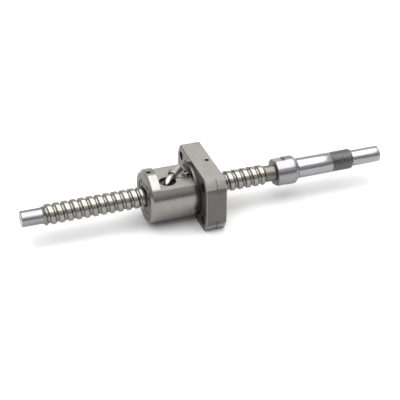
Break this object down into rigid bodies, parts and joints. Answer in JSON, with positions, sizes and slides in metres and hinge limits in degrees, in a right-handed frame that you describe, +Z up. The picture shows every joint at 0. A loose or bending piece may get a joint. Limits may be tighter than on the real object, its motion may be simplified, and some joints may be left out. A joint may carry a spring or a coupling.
{
  "type": "ball screw assembly",
  "caption": "Miniature ground ball screw with a flanged nut, an external ball return tube and machined screw ends.",
  "frame": {"origin": "middle of the length and width, on the base plane that the nut's flange stands on; the screw's axis is 14 mm above it", "axes": "+X along the screw from its free end to its drive end, +Y across the nut's flange away from the viewer, +Z up through the return tube"},
  "size_m": [0.181, 0.042, 0.028],
  "materials": {
    "screw_steel": "ground and polished hardened steel",
    "nut_steel": "ground alloy steel, satin, slightly warm grey",
    "tube_steel": "bright drawn stainless tube",
    "clamp_steel": "pressed sheet steel",
    "fastener_steel": "black-oxide alloy steel",
    "ball_steel": "lapped bearing steel",
    "seal_polymer": "moulded polymer, grey brown"
  },
  "bodies": {
    "nut": {"nut_body": "nut_steel", "return_tube": "tube_steel", "tube_clamp": "clamp_steel", "clamp_screw": "fastener_steel", "seal_screw_left": "fastener_steel", "seal_screw_right": "fastener_steel", "load_ball_01": "ball_steel", "load_ball_02": "ball_steel", "load_ball_03": "ball_steel", "load_ball_04": "ball_steel", "load_ball_05": "ball_steel", "load_ball_06": "ball_steel", "load_ball_07": "ball_steel", "load_ball_08": "ball_steel", "load_ball_09": "ball_steel", "load_ball_10": "ball_steel", "load_ball_11": "ball_steel", "load_ball_12": "ball_steel", "load_ball_13": "ball_steel", "load_ball_14": "ball_steel", "load_ball_15": "ball_steel", "load_ball_16": "ball_steel", "load_ball_17": "ball_steel", "load_ball_18": "ball_steel", "load_ball_19": "ball_steel", "load_ball_20": "ball_steel", "load_ball_21": "ball_steel", "load_ball_22": "ball_steel", "load_ball_23": "ball_steel", "load_ball_24": "ball_steel", "load_ball_25": "ball_steel", "load_ball_26": "ball_steel", "load_ball_27": "ball_steel", "load_ball_28": "ball_steel", "load_ball_29": "ball_steel", "load_ball_30": "ball_steel", "load_ball_31": "ball_steel", "load_ball_32": "ball_steel", "load_ball_33": "ball_steel", "load_ball_34": "ball_steel", "load_ball_35": "ball_steel", "load_ball_36": "ball_steel", "load_ball_37": "ball_steel", "load_ball_38": "ball_steel", "load_ball_39": "ball_steel", "load_ball_40": "ball_steel", "return_ball_01": "ball_steel", "return_ball_02": "ball_steel", "return_ball_03": "ball_steel", "return_ball_04": "ball_steel", "return_ball_05": "ball_steel", "return_ball_06": "ball_steel", "return_ball_07": "ball_steel", "return_ball_08": "ball_steel"},
    "wiper_seals": {"wiper_seal_left": "seal_polymer", "wiper_seal_right": "seal_polymer"},
    "screw": {"screw_shaft": "screw_steel"}
  },
  "joints": [
    {"name": "screw_spin", "type": "hinge", "parent": "nut", "child": "wiper_seals", "pos_m": [0, 0, 0.014], "axis": [1, 0, 0], "range_deg": [-2170, 4330]},
    {"name": "screw_travel", "type": "slide", "parent": "wiper_seals", "child": "screw", "axis": [1, 0, 0], "range_m": [-0.024, 0.048]}
  ],
  "couplings": [
    {"joint": "screw_spin", "follows": "screw_travel", "rad_per_m": 1570.8}
  ]
}
